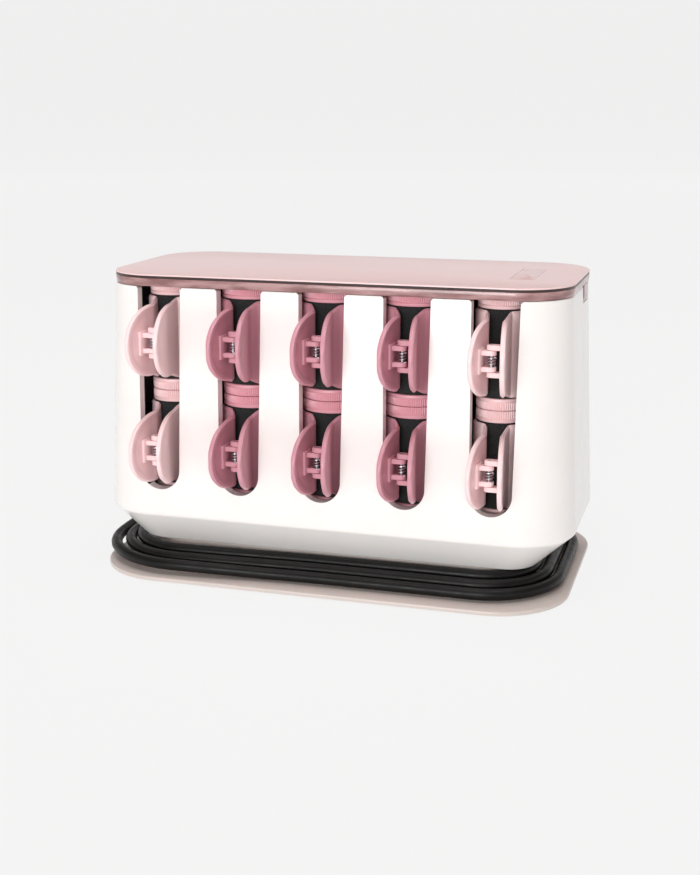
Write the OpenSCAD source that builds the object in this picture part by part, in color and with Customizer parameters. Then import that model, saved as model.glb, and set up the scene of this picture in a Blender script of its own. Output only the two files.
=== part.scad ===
// Heated hair roller set: a table-top housing with ten heated posts, twenty rollers
// stacked two to a post, a claw clip on every roller, a lift-off lid, and a neck under
// the housing on which the mains lead is wound.
// +X runs along the housing, the front faces -Y, +Z is up, and z = 0 is the table.

/* [Rollers] */
// Space between neighbouring large barrels in a row
between = 16; // [14:0.5:30]
// Distance from the middle of the housing to the end caps of a row
aisle = 20.6; // [14:0.1:40]
// Length of a roller over its end caps
roller_len = 61.7; // [50:0.1:80]
// Flocked barrel diameter of a large roller
large_d = 32; // [28:0.5:40]
// Flocked barrel diameter of a small roller
small_d = 25; // [20:0.5:32]
// How far an end cap stands out from the barrel
cap_lip = 1.4; // [0.5:0.1:2.5]
// Height of an end cap
cap_h = 6.5; // [4:0.5:9]
// Heated post diameter under a large roller
large_post_d = 16; // [10:0.5:20]
// Heated post diameter under a small roller
small_post_d = 12; // [8:0.5:16]
// Running gap between a post and the bore of its roller, on the radius
post_gap = 0.5; // [0.3:0.1:1]

/* [Clips] */
// How far the hinge pins stand in front of the housing's top edge
pin_out = 9.2; // [8.5:0.1:14]
// Distance from the hinge pin to the tip of the finger handles
handle_reach = 17; // [12:0.5:22]
// Half the distance between the two finger handles at their tips
handle_spread = 8.6; // [7:0.1:12]
// Half the distance between the jaws where they pass through the slot
waist = 5; // [4.6:0.1:7]
// Height of a finger handle
handle_h = 41; // [30:0.5:50]
// Thickness of a finger handle
handle_t = 2.5; // [2:0.1:3.5]
// Thickness of a jaw
jaw_t = 2.2; // [1.5:0.1:3]
// Hinge pin diameter
pin_d = 2; // [1.6:0.1:2.4]

/* [Housing] */
// Gap between the end rollers' caps and the housing's end at its top edge
end_room = 23; // [20:0.1:50]
// Gap between the large rollers' caps and the wall at its top edge
roller_room = 2.8; // [2:0.1:12]
// Corner radius of the housing at its top edge
corner_r = 29.7; // [20:0.1:40]
// Wall thickness of the housing
wall = 2.6; // [2:0.1:4]
// How far each side leans out for every millimetre of depth below the top edge
flare = 0.0434; // [0:0.0001:0.06]
// Height of the edge where the sides turn in under the housing
break_z = 35; // [33:0.5:36]
// Height of the seat that the lower rollers stand on
seat_z = 43.7; // [43:0.1:60]
// Width of a clip slot just above its round bottom
slot_w = 23.4; // [20:0.1:28]
// Width of a clip slot at the top edge
slot_top_w = 26.1; // [20:0.1:30]
// Height of the bottom of the slots above the seat
slot_rise = 6.8; // [4:0.1:12]

/* [Lid] */
// Height of the lid's rim above the housing
rim_h = 7; // [5:0.5:14]
// Thickness of the lid's top
lid_t = 2.5; // [2:0.1:4]
// Width of the plain plate on the lid
badge_w = 13.5; // [8:0.5:20]
// Length of the plain plate on the lid
badge_len = 49; // [30:1:80]

/* [Base] */
// Thickness of the base plate
plate_t = 2.6; // [2:0.1:4]
// Height of the feet under the base plate
foot_h = 1; // [0.5:0.1:3]
// How far the base plate reaches past the neck at the front and back
plate_reach = 31.3; // [28:0.1:40]
// How far the base plate reaches past the neck at the ends
plate_end_reach = 25.1; // [22:0.1:40]
// How far the neck stands in from the housing's top edge at the ends
neck_end_in = 20.9; // [16:0.1:26]
// How far the neck stands in from the housing's top edge at the front and back
neck_in = 8.3; // [6:0.1:12]
// Corner radius of the neck
neck_r = 25; // [24:0.5:30]

/* [Lead] */
// Diameter of the mains lead
cord_d = 6.6; // [6:0.1:7]

/* [Hidden] */
$fn = 48;
fit = 0.1;                           // running fit of a pin in its hole, on the radius
columns = 5;
pitch = large_d + between;
row_y = aisle + large_d/2 + cap_lip;
pin_reach = large_d/2 + cap_lip + roller_room + wall + pin_out;
half_w = pitch*(columns - 1)/2 + small_d/2 + cap_lip + end_room;
half_d = row_y + large_d/2 + cap_lip + roller_room + wall;
foot_top = foot_h;
plate_top = foot_h + plate_t;
neck_w = half_w - neck_end_in;
neck_d = half_d - neck_in;
neck_top = break_z - 11;
ledge_top = neck_top + 4.2;          // top of the ring that stands on the neck
skirt_low = neck_top - 6.7;          // lower edge of the sloping underside, round the neck
skirt_out = 6.5;                     // how far that edge stands off the neck at the ends
skirt_rim = 1.1;                     // and at the front and back
skirt_corner_r = neck_r - 7;
floor_in = 14;                       // from the break edge to the foot of the inner slope
floor_in_y = 10.6;
floor_r = neck_r;
roller_gap = 0.3;
roller_pitch = roller_len + roller_gap;
low_z = seat_z + roller_gap;
stack_top = low_z + 2*roller_pitch - roller_gap;
housing_top = stack_top - 0.7;
lid_low = housing_top + 0.2;
lid_top = housing_top + rim_h;
ceiling = lid_top - lid_t;
lip_low = housing_top - 3;           // lower edge of the lid's locating lip
lip_t = 1.5;
lip_gap = 0.5;
badge_t = 0.4;
badge_x = pitch*(columns - 1)/2 + 7.2;
slot_low = seat_z + slot_rise;
slot_reach = 15;                     // how far a slot's cut runs on both sides of its wall
tray_low = seat_z - 3.7;
tray_gap = 0.5;
skirt_t = 3;
skirt_x = neck_w + 3.5;              // half sizes of the skirt under the tray
skirt_y = neck_d + 0.9;
divider_end = 14;                    // from the divider to the housing's end wall
heater_top = tray_low - 1.5;
heater_t = 2.5;
heater_low = heater_top - heater_t;
post_top = stack_top - 3.7;
post_tip = 4;                        // height of the cone on top of a post
arc_n = 8;                           // straight steps in a rounded corner
jaw_h = roller_len - 2*cap_h - 1.7;
jaw_gap = 0.3;                       // between a jaw and the barrel that it holds
waist_y = 10;                        // from the hinge pin to the waist of the jaws
neck_h = handle_h - 2;               // height of a jaw where it passes through the slot
claw_from = 245;                     // the jaw runs round the barrel between these angles
claw_to = 130;
lug_t = 2.2;
lug_d = 5.2;
lug_outer = 5.9;                     // lower face of the outer hinge lugs, from mid height
lug_inner = 3.4;                     // lower face of the inner hinge lugs
screw_d = 3;
screw_x = 1.5*pitch;
screw_y = 20;
boss_d = 10;
boss_top = neck_top - 2;
head_z = foot_h + 9;
foot_x = neck_w - 4;
foot_y = neck_d + 7;
foot_d = 12;
switch_z = seat_z + 30;
lamp_z = seat_z + 10;
lean = atan(flare);
tab_w = 18;
tab_h = 9;
tab_y = 18;                          // from the middle of each end, on opposite sides
tab_t = 1.6;
tab_gap = 0.5;

// The wound lead: turns round the neck, each one further out and lower than the last
turns = 3;
turn_out = 6.7;                      // how far out each turn lies from the one before
turn_down = 2.85;                    // and how far down
first_out = cord_d/2 + 0.9;          // from the neck to the middle of the first turn
first_z = plate_top + 9.8;
rest_z = plate_top + 3.9;
groove_top = plate_top + 7.2;        // the sloping bed of the groove where it meets the neck
groove_run = 17.4;
exit_z = foot_h + 13.2;
exit_lift = 0.8;
slack = [4, 4.5, 6.5];               // how far each turn stands off at the left end
slack_at = 0.72;
slack_half = 0.16;
slack_rise = 0.42;
cord_sides = 8;
relief_x = -4;                       // where the lead leaves its boss, and the relief's tip
relief_tip = 30;
relief_d = 8.4;
relief_tip_d = 7.2;
gland_len = 18;
gland_top = exit_z + 5.4;
gland_y = neck_d + first_out;
plug_x = -60;
plug_y = neck_d + 21;
plug_z = foot_h + 19.2;
plug_len = 30;
plug_w = 25;
plug_t = 11.6;

// ---- shapes shared by several pieces ----

function arc(cx, cy, r, a0, a1, n) =
    [for (i = [0 : n]) let(a = a0 + (a1 - a0)*i/n) [cx + r*cos(a), cy + r*sin(a)]];

// Outline of a rectangle with round corners, from its half sizes
function round_rect(hw, hd, r) = concat(
    arc(hw - r, hd - r, r, 0, 90, arc_n), arc(r - hw, hd - r, r, 90, 180, arc_n),
    arc(r - hw, r - hd, r, 180, 270, arc_n), arc(hw - r, r - hd, r, 270, 360, arc_n));

// Closed skin over rings of points, each ring with the same number of points
module skin(rings) {
    n = len(rings[0]);
    last = len(rings) - 1;
    sides = [for (k = [0 : last - 1]) for (i = [0 : n - 1]) let(j = (i + 1)%n)
        [k*n + i, (k + 1)*n + i, (k + 1)*n + j, k*n + j]];
    low = [for (i = [0 : n - 1]) i];
    high = [for (i = [n - 1 : -1 : 0]) last*n + i];
    polyhedron([for (ring = rings) for (p = ring) p], concat(sides, [low], [high]));
}

// Solid over rounded rectangles, each given as [z, half width, half depth, corner radius]
module loft(levels) {
    skin([for (l = levels) [for (p = round_rect(l[1], l[2], l[3])) [p[0], p[1], l[0]]]]);
}

module slab(low, high, hw, hd, r) {
    translate([0, 0, low]) linear_extrude(high - low) polygon(round_rect(hw, hd, r));
}

// Level of the drafted housing wall at height z, moved in by inset
function wall_level(z, inset) = let(out = flare*(housing_top - z) - inset)
    [z, half_w + out, half_d + out, corner_r + out];

// A strip of even thickness along a path in the plane, from one of its points to another
function heading(path, i) = let(
    a = path[max(i - 1, 0)], b = path[min(i + 1, len(path) - 1)], d = b - a) d/norm(d);
function strip(path, t, first, last) = concat(
    [for (i = [first : last]) let(h = heading(path, i)) path[i] + [-h[1], h[0]]*t/2],
    [for (i = [last : -1 : first]) let(h = heading(path, i)) path[i] - [-h[1], h[0]]*t/2]);

module at_screws() {
    for (x = [-screw_x, 0, screw_x]) for (y = [-screw_y, screw_y])
        translate([x, y, 0]) children();
}

function column_x(c) = (c - (columns + 1)/2)*pitch;
function is_small(c) = c == 1 || c == columns;
function barrel_d(c) = is_small(c) ? small_d : large_d;
function post_d(c) = is_small(c) ? small_post_d : large_post_d;

// ---- base ----

module base_tub() {
    color("linen") difference() {
        union() {
            loft([[foot_top, neck_w + plate_end_reach, neck_d + plate_reach, neck_r + 17.5],
                [plate_top, neck_w + plate_end_reach, neck_d + plate_reach, neck_r + 17.5],
                [plate_top, neck_w + groove_run, neck_d + groove_run, neck_r + groove_run],
                [groove_top, neck_w, neck_d, neck_r],
                [neck_top, neck_w, neck_d, neck_r]]);
            translate([relief_x - gland_len, 0, 0]) rotate([90, 0, 90]) linear_extrude(gland_len)
                polygon([[neck_d - 2, exit_z - 3.5], [gland_y + 2.2, exit_z - 3.5],
                    [gland_y + 3.9, exit_z - 1], [gland_y + 3.9, gland_top],
                    [neck_d - 2, gland_top]]);
        }
        difference() {
            slab(plate_top, neck_top + 1, neck_w - wall, neck_d - wall, neck_r - wall);
            at_screws() translate([0, 0, plate_top - 1])
                cylinder(d = boss_d, h = boss_top - plate_top + 1);
        }
        at_screws() cylinder(d = screw_d + 2*fit, h = boss_top + 1);
        at_screws() cylinder(d = 6.6, h = head_z);
        for (x = [-foot_x, foot_x]) for (y = [-foot_y, foot_y])
            translate([x, y, 0]) cylinder(d = foot_d, h = foot_top + 1.2);
        translate([relief_x - 6, gland_y, exit_z]) rotate([0, 90, 0]) cylinder(d = relief_d - 1.4, h = 7);
        translate([relief_x - 12, neck_d - 6, exit_z - 2]) cube([7, 10.5, 4]);
    }
}

module rubber_feet() {
    color("dimgray") for (x = [-foot_x, foot_x]) for (y = [-foot_y, foot_y])
        translate([x, y, 0]) cylinder(d = foot_d - 2*fit, h = foot_top + 1.2);
}

module base_screws() {
    color("silver") at_screws() {
        translate([0, 0, head_z]) cylinder(d = screw_d - 2*fit, h = boss_top + 8 - head_z);
        translate([0, 0, head_z - 2.2]) cylinder(d = 5.8, h = 2.2);
    }
}

// ---- housing ----

// Outline of a clip slot, open at the top
module slot_outline() {
    r = slot_w/2;
    polygon(concat(arc(0, slot_low + r, r, 180, 360, 14),
        [[slot_top_w/2, housing_top + 1], [-slot_top_w/2, housing_top + 1]]));
}

module housing_shell() {
    low = wall_level(break_z, 0);
    color("antiquewhite") difference() {
        loft([[skirt_low, neck_w + skirt_out, neck_d + skirt_rim, skirt_corner_r], low,
            wall_level(housing_top, 0)]);
        loft([[ledge_top, low[1] - floor_in, low[2] - floor_in_y, floor_r],
            wall_level(break_z + 0.6, wall), wall_level(housing_top + 1, wall)]);
        slab(neck_top - 1, ledge_top + 1, neck_w - wall, neck_d - wall, neck_r - wall);
        slab(skirt_low - 1, neck_top, neck_w + fit, neck_d + fit, neck_r + fit);
        translate([relief_x - gland_len - 0.5, neck_d - 1, skirt_low - 1])
            cube([gland_len + 1, 12, gland_top - skirt_low + 1.5]);
        for (c = [1 : columns]) for (side = [-1, 1])
            translate([column_x(c), side*half_d, 0]) rotate([90, 0, 0])
                linear_extrude(2*slot_reach, center = true) slot_outline();
        for (side = [-1, 1]) translate([side*half_w, side*tab_y, housing_top - tab_h/2 + 0.5])
            cube([12, tab_w + 2*tab_gap, tab_h + 2], center = true);
        at_switch(switch_z) translate([-6, -8.2, -10.2]) cube([16, 16.4, 20.4]);
        at_switch(lamp_z) rotate([0, 90, 0]) cylinder(d = 6 + 2*fit, h = 12, center = true);
    }
}

// ---- inside ----

module roller_tray() {
    low = wall_level(tray_low, wall + tray_gap);
    high = wall_level(seat_z, wall + tray_gap);
    color("#151515") difference() {
        union() {
            loft([low, high]);
            difference() {
                slab(ledge_top, tray_low + 1, skirt_x, skirt_y, neck_r);
                slab(ledge_top - 1, tray_low, skirt_x - skirt_t, skirt_y - skirt_t, neck_r - skirt_t);
            }
            at_screws() translate([0, 0, boss_top])
                cylinder(d = boss_d, h = tray_low + 1 - boss_top);
            at_screws() translate([0, 0, heater_top])
                cylinder(d = boss_d + 4, h = tray_low + 1 - heater_top);
        }
        at_screws() translate([0, 0, boss_top - 1]) cylinder(d = screw_d - 2*fit + 0.1, h = 13);
        for (c = [1 : columns]) for (y = [-row_y, row_y])
            translate([column_x(c), y, tray_low - 1]) cylinder(d = post_d(c) + 1, h = 10);
        translate([2 - half_w, 0, seat_z - 6]) cylinder(d = 8, h = 10);
    }
}

module centre_divider() {
    h = stack_top - 8 - seat_z;
    color("#1b1b1b") translate([0, 1.5, seat_z + h/2]) rotate([90, 0, 0]) linear_extrude(3)
        polygon(round_rect(half_w - wall - divider_end, h/2, 8));
}

module heater_plate() {
    color("silver") difference() {
        slab(heater_low, heater_top, neck_w - 2, neck_d - 4, neck_r - 4);
        at_screws() translate([0, 0, heater_low - 1]) cylinder(d = boss_d + 0.6, h = heater_t + 2);
    }
}

module heating_posts() {
    color("lightgray") for (c = [1 : columns]) for (y = [-row_y, row_y])
        translate([column_x(c), y, heater_top]) {
            straight = post_top - heater_top - post_tip;
            cylinder(d = post_d(c), h = straight);
            translate([0, 0, straight])
                cylinder(d1 = post_d(c), d2 = post_d(c) - 1.5*post_tip, h = post_tip);
        }
}

module heating_element() {
    color("darkgray") for (y = [-34, 34])
        translate([0, y, 0]) slab(heater_low - 4, heater_low, 2*pitch + 8, 5, 4.9);
}

module thermostat() {
    color("gainsboro") translate([pitch*0.75, 0, heater_low]) {
        translate([0, 0, -6]) cylinder(d = 17, h = 6);
        for (y = [-4, 4]) translate([-3, y - 0.4, -12]) cube([6, 0.8, 6.2]);
    }
}

module terminal_block() {
    color("ivory") translate([-40, 24, plate_top]) difference() {
        translate([-13, -7, 0]) cube([26, 14, 10]);
        for (x = [-8, 0, 8]) translate([x, 0, 5]) cylinder(d = 4, h = 6);
        for (x = [-8, 0, 8]) translate([x, -8, 3.5]) rotate([-90, 0, 0]) cylinder(d = 2.6, h = 16);
    }
}

// A round tube along a path: rings square to the path, the last ones closed
function unit(v) = v/norm(v);
function ahead(p, i) = unit(unit(p[min(i + 1, len(p) - 1)] - p[min(i, len(p) - 2)])
    + unit(p[max(i, 1)] - p[max(i - 1, 0)]));
function tube_ring(p, i, r, n) = let(t = ahead(p, i), side = unit(cross(t, [0, 0, 1])),
    top = cross(side, t)) [for (k = [0 : n - 1]) let(a = 360*(k + 0.5)/n)
    p[i] + r*cos(a)*side + r*sin(a)*top];

module tube(path, d, n) {
    skin([for (i = [len(path) - 1 : -1 : 0]) tube_ring(path, i, d/2, n)]);
}

module lead_wires() {
    z = plate_top + 3.5;
    tab = [pitch*0.75, -4, heater_low - 12.9];
    bar = [-pitch, -34, heater_low - 4.9];
    color("saddlebrown") tube([[-32, 16.6, z], [-32, 6, z + 3], [-16, 0, z + 8], tab - [16, -3, 5],
        tab], 1.8, 8);
    color("royalblue") tube([[-48, 16.6, z], [-56, 0, z + 4], bar - [10, -8, 12], bar - [2, -3, 4],
        bar], 1.8, 8);
    color("black") tube([[-40, 31.4, z], [-40, 38, z + 2], [-30, gland_y - 12, z + 6],
        [relief_x - 11, gland_y - 10, exit_z]], 3, 8);
}

// ---- lid ----

module lid_shell() {
    color("pink") difference() {
        union() {
            loft([[lid_low, half_w + 0.3, half_d - 0.5, corner_r + 1],
                [lid_top - 2.4, half_w + 0.7, half_d - 0.2, corner_r + 1.3],
                [lid_top - 0.7, half_w + 0.1, half_d - 0.8, corner_r + 0.7],
                [lid_top, half_w - 1.5, half_d - 2.4, corner_r - 0.9]]);
            slab(lip_low, lid_low + 1, half_w - wall - lip_gap, half_d - wall - lip_gap,
                corner_r - wall - lip_gap);
            for (side = [-1, 1])
                translate([side*(half_w - 0.1), side*tab_y, lid_low - tab_h/2 + 0.5])
                cube([tab_t, tab_w, tab_h + 1], center = true);
        }
        slab(lip_low - 1, ceiling, half_w - wall - lip_gap - lip_t, half_d - wall - lip_gap - lip_t,
            corner_r - wall - lip_gap - lip_t);
        translate([badge_x, 0, lid_top - badge_t])
            linear_extrude(1) square([badge_w, badge_len], center = true);
    }
}

module lid_badge() {
    color("mistyrose") translate([badge_x, 0, lid_top - badge_t])
        linear_extrude(badge_t) square([badge_w - 2*fit, badge_len - 2*fit], center = true);
}

// ---- switch and lamp in the left end wall ----

module at_switch(z) {
    translate([-half_w - flare*(housing_top - z), 0, z]) rotate([0, lean, 0]) children();
}

module switch_frame() {
    color("#202020") at_switch(switch_z) difference() {
        union() {
            translate([-1.2, -10, -12]) cube([1.2, 20, 24]);
            translate([-0.1, -8, -10]) cube([14, 16, 20]);
        }
        translate([-2, -6.3, -8.4]) cube([14.5, 12.6, 16.8]);
        translate([3, 0, 0]) rotate([90, 0, 0]) cylinder(d = 2.4 + 2*fit, h = 15, center = true);
    }
}

module switch_rocker() {
    color("#303030") at_switch(switch_z) {
        intersection() {
            translate([3, 0, 0]) rotate([90, 0, 0]) cylinder(r = 8, h = 11.8, center = true);
            translate([0, 5.9, 0]) rotate([90, 0, 0]) linear_extrude(11.8)
                polygon([[-1.5, 8.2], [-0.3, 0], [1, -8.2], [9, -8.2], [9, 8.2]]);
        }
        translate([3, 0, 0]) rotate([90, 0, 0]) cylinder(d = 2.4, h = 14.8, center = true);
    }
}

module pilot_lamp() {
    color("orangered") at_switch(lamp_z) rotate([0, 90, 0]) {
        translate([0, 0, -0.6]) cylinder(d = 8, h = 0.6);
        translate([0, 0, -0.1]) cylinder(d = 6, h = 9);
    }
}

// ---- mains lead ----

// Places round the neck: corner centre and the direction that faces out of the neck
cx = neck_w - neck_r;
cy = neck_d - neck_r;
corner_turns = [0, 22.5, 45, 67.5, 90];
round_trip = concat([[0, cy, 90]],
    [for (a = corner_turns) [cx, cy, 90 - a]], [for (a = corner_turns) [cx, -cy, -a]],
    [[0, -cy, -90]],
    [for (a = corner_turns) [-cx, -cy, -90 - a]], [[-cx, 0, -180]],
    [for (a = corner_turns) [-cx, cy, -180 - a]]);

function ease(t) = let(c = min(max(t, 0), 1)) c*c*(3 - 2*c);
// Share of a turn that a place lies past the middle of the back
function share(x, y) = let(a = 90 - atan2(y, x)) (a < 0 ? a + 360 : a)/360;
function slack_of(k, f) = abs(f - slack_at) < slack_half
    ? slack[k]*pow(cos(90*(f - slack_at)/slack_half), 2) : 0;
function cord_point(k, place) = let(
    n = [cos(place[2]), sin(place[2])],
    p = [place[0], place[1]] + neck_r*n,
    f = share(p[0], p[1]),
    level = k + ease(2*f - 1),
    off = slack_of(k, f),
    lift = (k == 0 ? exit_lift*max(1 - 2*f, 0) : 0)
        + (k == turns - 1 ? (plug_z - rest_z)*ease((f - 0.76)/0.1) : 0),
    out = p + (first_out + turn_out*level + off)*n)
    [out[0], out[1], max(first_z - turn_down*level, rest_z) + slack_rise*off + lift];

cord_path = concat([[relief_tip, gland_y, exit_z]],
    [for (k = [0 : turns - 1]) for (i = [(k == 0 ? 1 : 0) : len(round_trip) - 1])
        cord_point(k, round_trip[i])],
    [[plug_x, plug_y, plug_z]]);

module strain_relief() {
    color("#181818") translate([relief_x, gland_y, exit_z]) rotate([0, 90, 0]) {
        translate([0, 0, -6]) cylinder(d = relief_d - 1.6, h = 6);
        cylinder(d1 = relief_d, d2 = relief_tip_d, h = relief_tip - relief_x);
    }
}

module mains_cord() {
    color("#101010") tube(cord_path, cord_d, cord_sides);
}

module mains_plug() {
    color("#141414") translate([plug_x, plug_y, plug_z]) rotate([90, 0, 90]) {
        cylinder(d1 = cord_d + 1.4, d2 = 10.5, h = 8);
        translate([0, 0, 8]) linear_extrude(plug_len - 8)
            polygon(round_rect(plug_w/2, plug_t/2, 3.5));
    }
    color("goldenrod") for (y = [-6.35, 6.35])
        translate([plug_x + plug_len, plug_y + y - 0.75, plug_z - 3.2]) cube([17, 1.5, 6.4]);
}

// ---- rollers and clips; each stands at the origin with its clip towards -Y ----

module roller(c) {
    r = barrel_d(c)/2;
    bore = post_d(c) + 2*post_gap;
    color("#1a1416") difference() {
        translate([0, 0, cap_h]) cylinder(r = r, h = roller_len - 2*cap_h);
        cylinder(d = bore, h = roller_len);
    }
    color(is_small(c) ? "lightpink" : "palevioletred") for (z = [0, roller_len - cap_h])
        translate([0, 0, z]) difference() {
            cylinder(r = r + cap_lip, h = cap_h);
            translate([0, 0, -1]) cylinder(d = bore, h = cap_h + 2);
        }
}

// Side view of a finger handle, from the waist to its round tip
module handle_outline() {
    reach = waist_y + handle_reach;
    edge = [for (i = [0 : 12]) let(share = sin(90*i/12))
        [reach*share, handle_h/2*pow(1 - pow(share, 1.5), 0.6)]];
    polygon(concat(edge, [for (i = [11 : -1 : 0]) [edge[i][0], -edge[i][1]]]));
}

// The left jaw with its hinge at the origin, without pin holes
module jaw_body(c, lug_z) {
    r = barrel_d(c)/2 + jaw_gap + jaw_t/2;
    path = concat([[-waist, waist_y - 1]], arc(0, pin_reach, r, claw_from, claw_to, 14));
    turn = atan2(-waist_y - handle_reach, waist - handle_spread);
    translate([0, 0, -jaw_h/2]) linear_extrude(jaw_h)
        polygon(strip(path, jaw_t, 2, len(path) - 1));
    translate([0, 0, -neck_h/2]) linear_extrude(neck_h) polygon(strip(path, jaw_t, 0, 2));
    translate([-waist, waist_y, 0]) rotate([0, 0, turn]) rotate([90, 0, 0])
        linear_extrude(handle_t, center = true) handle_outline();
    for (z = [lug_z, -lug_z - lug_t]) translate([0, 0, z]) {
        cylinder(d = lug_d, h = lug_t);
        translate([-waist - 1.3, -lug_d/2, 0]) cube([waist + 1.3, lug_d, lug_t]);
    }
}

module jaw_left(c) {
    color(is_small(c) ? "lightpink" : "palevioletred") difference() {
        jaw_body(c, lug_inner);
        cylinder(d = pin_d + 2*fit, h = 40, center = true);
    }
}

// The right jaw carries the pin, pressed into its outer lugs, and the coil spring on it
module jaw_right(c) {
    color(is_small(c) ? "lightpink" : "palevioletred") mirror([1, 0, 0]) difference() {
        jaw_body(c, lug_outer);
        cylinder(d = pin_d + 0.1, h = 40, center = true);
    }
    color("silver") cylinder(d = pin_d, h = 2*(lug_outer + lug_t) + 1, center = true);
    color("silver") difference() {
        cylinder(d = 5, h = 2*lug_inner - 0.6, center = true);
        cylinder(d = pin_d + 0.6, h = 40, center = true);
    }
}

function level_z(level) = level == "upper" ? low_z + roller_pitch : low_z;

module at_roller(c, level) {
    translate([column_x(c), -row_y, level_z(level)]) children();
}

module at_clip(c, level) {
    at_roller(c, level) translate([0, -pin_reach, roller_len/2]) children();
}

base_tub();
housing_shell();
rubber_feet();
base_screws();
roller_tray();
centre_divider();
heater_plate();
heating_posts();
heating_element();
thermostat();
terminal_block();
lead_wires();
lid_shell();
lid_badge();
switch_frame();
switch_rocker();
pilot_lamp();
strain_relief();
mains_cord();
mains_plug();
for (c = [1 : columns]) for (level = ["upper", "lower"]) {
    place = str("front_", c, "_", level);
    at_roller(c, level) roller(c);
    at_clip(c, level) jaw_left(c);
    at_clip(c, level) jaw_right(c);
    rotate([0, 0, 180]) {
            at_roller(columns + 1 - c, level) roller(c);
            at_clip(columns + 1 - c, level) jaw_left(c);
            at_clip(columns + 1 - c, level) jaw_right(c);
        }
}
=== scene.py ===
"""Heated hair roller set: the looks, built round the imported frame. Lengths are in metres."""

import math

import bpy
import numpy as np
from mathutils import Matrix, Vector


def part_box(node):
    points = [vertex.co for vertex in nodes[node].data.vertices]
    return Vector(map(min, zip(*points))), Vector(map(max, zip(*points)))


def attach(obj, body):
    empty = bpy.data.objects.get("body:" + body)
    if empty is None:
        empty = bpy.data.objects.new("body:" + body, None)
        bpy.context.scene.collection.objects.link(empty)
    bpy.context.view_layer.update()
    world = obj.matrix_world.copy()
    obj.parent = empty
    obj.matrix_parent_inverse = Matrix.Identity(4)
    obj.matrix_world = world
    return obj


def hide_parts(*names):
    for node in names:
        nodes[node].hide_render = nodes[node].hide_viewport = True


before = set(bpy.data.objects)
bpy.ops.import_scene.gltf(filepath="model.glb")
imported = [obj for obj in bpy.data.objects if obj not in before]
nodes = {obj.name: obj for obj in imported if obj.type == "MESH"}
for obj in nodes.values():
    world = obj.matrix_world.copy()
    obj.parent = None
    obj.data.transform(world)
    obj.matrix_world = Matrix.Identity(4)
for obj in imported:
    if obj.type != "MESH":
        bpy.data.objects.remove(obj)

scene = bpy.context.scene
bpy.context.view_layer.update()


# ---- Camera ----
# A long lens a little over three quarters of a metre from the set, from the front right and above.

camera_azimuth = math.radians(16.341)
camera_elevation = math.radians(12.171)
camera_distance = 0.81357
camera_target = Vector((0, 0, 0.1))
sight = Vector((math.sin(camera_azimuth) * math.cos(camera_elevation),
                -math.cos(camera_azimuth) * math.cos(camera_elevation),
                math.sin(camera_elevation)))
camera = bpy.data.objects.new("camera", bpy.data.cameras.new("camera"))
camera.location = camera_target + camera_distance * sight
camera.rotation_euler = (-sight).to_track_quat("-Z", "Y").to_euler()
camera.data.lens = 56.3
camera.data.sensor_width = 36
camera.data.shift_x = -0.003
camera.data.shift_y = -0.052
camera.data.clip_start = 0.01
scene.collection.objects.link(camera)
scene.camera = camera


# ---- Mains lead ----
# Round black PVC lead, wound three turns down the sloping bed under the housing, with a looser
# stretch at the left end where the turns stand off. It leaves a ribbed strain relief at the back
# of the neck and ends in a moulded two-blade plug, parked against the winding at the back.

def linear(red, green, blue):
    """The linear colour of a display colour given from 0 to 255: the usual 2.4 power curve."""
    share = np.array([red, green, blue]) / 255
    curve = np.where(share <= 0.04045, share / 12.92, ((share + 0.055) / 1.055) ** 2.4)
    return (*curve.tolist(), 1.0)


def ring_quads(rows, columns, round_rows=False):
    """Four-sided faces of a grid whose columns run round and close. Each joins a point, the next
    in its row, and the two beside them in the next row, which after the last may be the first."""
    index = np.arange(rows * columns).reshape(rows, columns)
    below = np.roll(index, -1, 0) if round_rows else index[1:]
    here = index if round_rows else index[:-1]
    quads = np.stack([here, np.roll(here, -1, 1), np.roll(below, -1, 1), below], -1)
    return quads.reshape(-1, 4)


def solid(name, points, quads, ends=(), crease=35):
    """A closed mesh. Its signed volume, a sixth of the sum of a . (b x c) over its triangles,
    turns every face over if it comes out negative. Edges sharper than crease degrees stay hard."""
    points = np.asarray(points, float).reshape(-1, 3)
    ends = [np.asarray(end) for end in ends]
    fans = [np.stack([np.full(len(e) - 2, e[0]), e[1:-1], e[2:]], 1) for e in ends]
    triangles = np.concatenate([quads[:, :3], quads[:, [0, 2, 3]], *fans])
    a, b, c = points[triangles].transpose(1, 0, 2)
    turn = -1 if np.einsum("ij,ij->", a, np.cross(b, c)) < 0 else 1
    mesh = bpy.data.meshes.new(name)
    mesh.from_pydata(points.tolist(), [], [face[::turn].tolist() for face in [*quads, *ends]])
    mesh.shade_smooth()
    mesh.set_sharp_from_angle(angle=math.radians(crease))
    piece = bpy.data.objects.new(name, mesh)
    scene.collection.objects.link(piece)
    return piece


def lofted(name, rings, crease=35):
    """A solid through rings of points, given as an array of rings, closed by its two end rings."""
    rings = np.asarray(rings)
    rows, columns = rings.shape[:2]
    ends = [np.arange(columns), np.arange(columns) + (rows - 1) * columns]
    return solid(name, rings, ring_quads(rows, columns), [ends[0][::-1], ends[1]], crease)


def looped(name, rings, crease=35):
    """A solid through rings of points whose last ring joins the first, such as a frame or a tube."""
    rings = np.asarray(rings)
    return solid(name, rings, ring_quads(*rings.shape[:2], round_rows=True), (), crease)


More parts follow.
